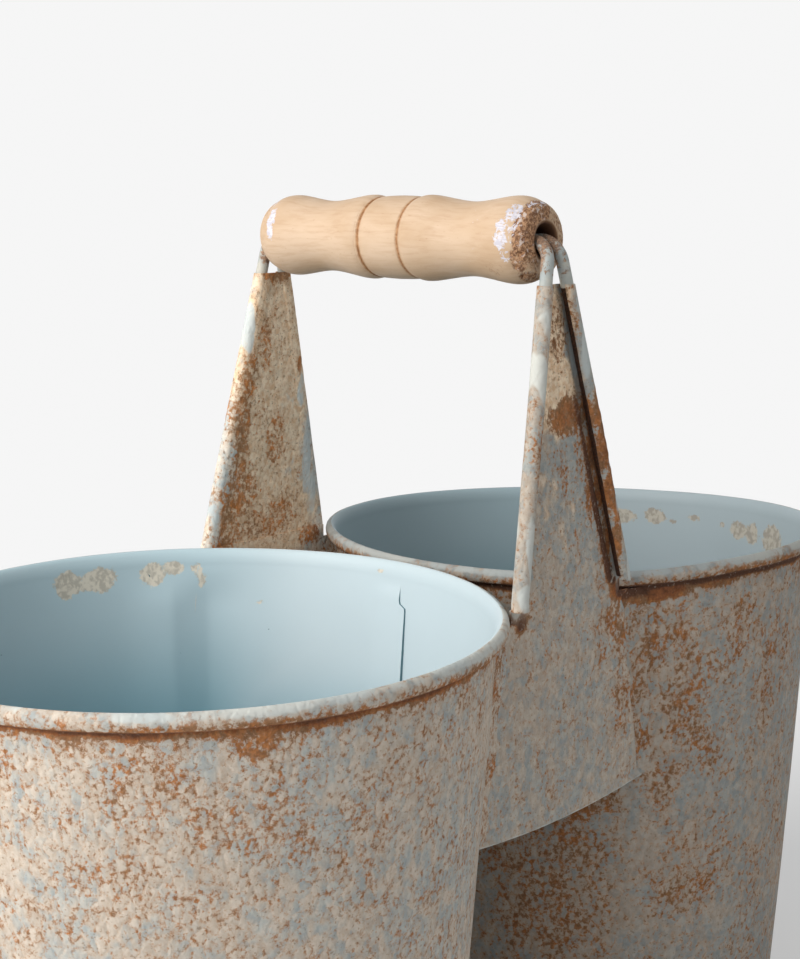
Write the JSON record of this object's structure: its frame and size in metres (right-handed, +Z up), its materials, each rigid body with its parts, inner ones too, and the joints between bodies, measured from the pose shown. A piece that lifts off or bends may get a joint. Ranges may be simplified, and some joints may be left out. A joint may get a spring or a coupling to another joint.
{
  "type": "seedling holder",
  "caption": "Tapered sheet-metal plant pots side by side, joined by A-shaped side plates and carried by a turned wooden grip that spins on bail wires.",
  "frame": {"origin": "on the ground at the centre of the footprint, midway between the two pots", "axes": "+X along the row of pots, +Y along the grip, +Z up"},
  "size_m": [0.322, 0.16, 0.257],
  "materials": {
    "pot_sheet": "pale blue-grey paint outside worn through to tan and rust, smooth pale blue inside",
    "base_sheet": "smooth pale blue paint",
    "plate_sheet": "grey-blue paint with rough brown rust",
    "rim_wire": "bare drawn wire",
    "bail_wire": "pale blue-grey paint with light rust",
    "solder": "painted over with the pots",
    "turned_wood": "pale close-grained wood, unvarnished, with scored grooves"
  },
  "bodies": {
    "holder": {"left_pot_wall": "pot_sheet", "right_pot_wall": "pot_sheet", "left_rim_wire": "rim_wire", "right_rim_wire": "rim_wire", "left_pot_base": "base_sheet", "right_pot_base": "base_sheet", "front_side_plate": "plate_sheet", "back_side_plate": "plate_sheet", "front_left_plate_solder": "solder", "front_right_plate_solder": "solder", "back_left_plate_solder": "solder", "back_right_plate_solder": "solder", "rim_solder": "solder", "left_bail_wire": "bail_wire", "right_bail_wire": "bail_wire"},
    "grip": {"wooden_grip": "turned_wood"}
  },
  "joints": [
    {"name": "grip_spin", "type": "hinge", "parent": "holder", "child": "grip", "pos_m": [0, 0, 0.2454], "axis": [0, 1, 0], "continuous": true}
  ]
}
